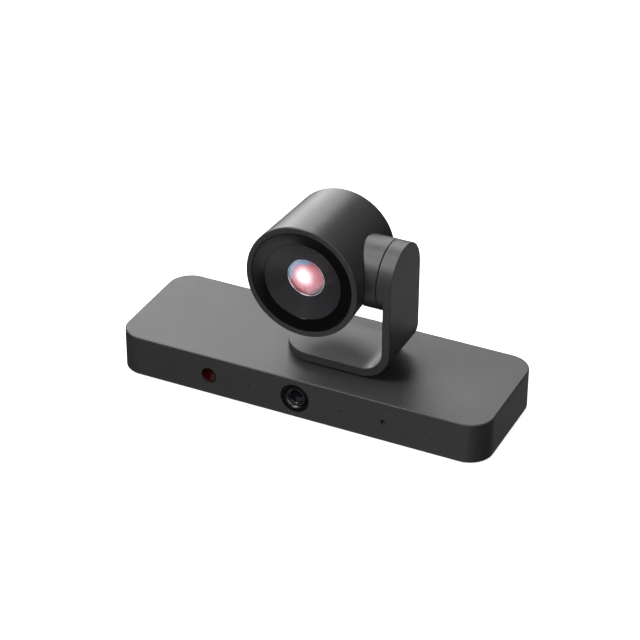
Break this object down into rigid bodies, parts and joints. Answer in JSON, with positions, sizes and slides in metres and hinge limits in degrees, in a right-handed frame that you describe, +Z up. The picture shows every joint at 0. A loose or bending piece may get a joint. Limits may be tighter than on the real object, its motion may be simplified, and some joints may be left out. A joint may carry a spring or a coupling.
{
  "type": "ptz camera",
  "caption": "Motorised conference camera: a tapered round head on an L-shaped yoke pans and tilts on a long rounded base bar that holds a fixed wide lens.",
  "frame": {"origin": "middle of the base bar, on the surface that its feet stand on", "axes": "+X along the bar to the right seen from the front, -Y is the front, +Z up"},
  "size_m": [0.25, 0.085, 0.1288],
  "materials": {
    "graphite_housing": "fine textured matte",
    "graphite_cast": "die cast, fine textured matte paint",
    "satin_black": "satin moulded",
    "gloss_black": "polished",
    "optical_glass": "coated",
    "filter_red": "polished",
    "rubber_black": "matte",
    "brass_turned": "turned",
    "steel": "plain",
    "aluminium_plain": "machined",
    "board_green": "solder mask",
    "chip_black": "moulded",
    "acetal_white": "moulded",
    "film_orange": "film"
  },
  "bodies": {
    "base": {"base_shell": "graphite_housing", "bottom_plate": "satin_black", "tripod_insert": "brass_turned", "rubber_feet": "rubber_black", "bottom_screws": "steel", "wide_lens_bezel": "gloss_black", "wide_lens_barrel": "satin_black", "wide_lens_front_glass": "optical_glass", "wide_lens_inner_glass": "optical_glass", "wide_camera_board": "board_green", "infrared_window": "filter_red", "infrared_receiver": "chip_black", "status_light_pipe": "gloss_black", "microphone_gaskets": "rubber_black", "microphones": "steel", "microphone_boards": "board_green", "main_board": "board_green", "main_processor": "chip_black", "heat_spreader": "aluminium_plain", "power_socket": "satin_black", "network_socket": "satin_black", "video_socket": "steel", "usb_socket": "steel", "drive_board": "board_green", "pan_chassis": "steel", "pan_chassis_screws": "steel", "pan_bushing": "acetal_white", "pan_motor": "steel"},
    "pan_pinion": {"pan_pinion": "brass_turned"},
    "yoke": {"yoke_bracket": "graphite_cast", "pan_hub": "satin_black", "pan_hub_screws": "steel", "pan_gear": "acetal_white", "pan_retaining_clip": "steel", "arm_cable_cover": "satin_black", "ribbon_cable": "film_orange", "tilt_shaft": "steel", "tilt_shaft_screws": "steel", "tilt_gear": "brass_turned", "tilt_lock_nut": "steel"},
    "head": {"barrel_shell": "graphite_housing", "barrel_rear_cap": "graphite_housing", "gloss_ring": "gloss_black", "lens_surround": "satin_black", "lens_retainer": "satin_black", "front_lens": "optical_glass", "lens_housing": "aluminium_plain", "guide_rods": "steel", "image_sensor": "chip_black", "sensor_board": "board_green", "head_board": "board_green", "tilt_hub": "graphite_housing", "tilt_bushing": "acetal_white", "tilt_motor": "steel", "tilt_motor_plate": "steel"},
    "tilt_pinion": {"tilt_pinion": "brass_turned"},
    "zoom_group": {"zoom_carriage": "satin_black", "zoom_lens": "optical_glass"},
    "focus_group": {"focus_carriage": "satin_black", "focus_lens": "optical_glass"}
  },
  "joints": [
    {"name": "pan", "type": "hinge", "parent": "base", "child": "yoke", "pos_m": [0, -0.00065, 0.0298], "axis": [0, 0, 1], "range_deg": [-170, 170]},
    {"name": "tilt", "type": "hinge", "parent": "yoke", "child": "head", "pos_m": [0.044, -0.00065, 0.0918], "axis": [-1, 0, 0], "range_deg": [-30, 90]},
    {"name": "pan_pinion_spin", "type": "hinge", "parent": "base", "child": "pan_pinion", "pos_m": [0.024, -0.00065, 0.018], "axis": [0, 0, 1], "range_deg": [-681, 681]},
    {"name": "tilt_pinion_spin", "type": "hinge", "parent": "head", "child": "tilt_pinion", "pos_m": [0.038, 0.01295, 0.0918], "axis": [-1, 0, 0], "range_deg": [-56, 166]},
    {"name": "zoom", "type": "slide", "parent": "head", "child": "zoom_group", "axis": [0, 1, 0], "range_m": [0, 0.009]},
    {"name": "focus", "type": "slide", "parent": "head", "child": "focus_group", "axis": [0, 1, 0], "range_m": [0, 0.004]}
  ],
  "couplings": [
    {"joint": "pan_pinion_spin", "follows": "pan", "ratio": -4},
    {"joint": "tilt_pinion_spin", "follows": "tilt", "ratio": 1.8333}
  ]
}
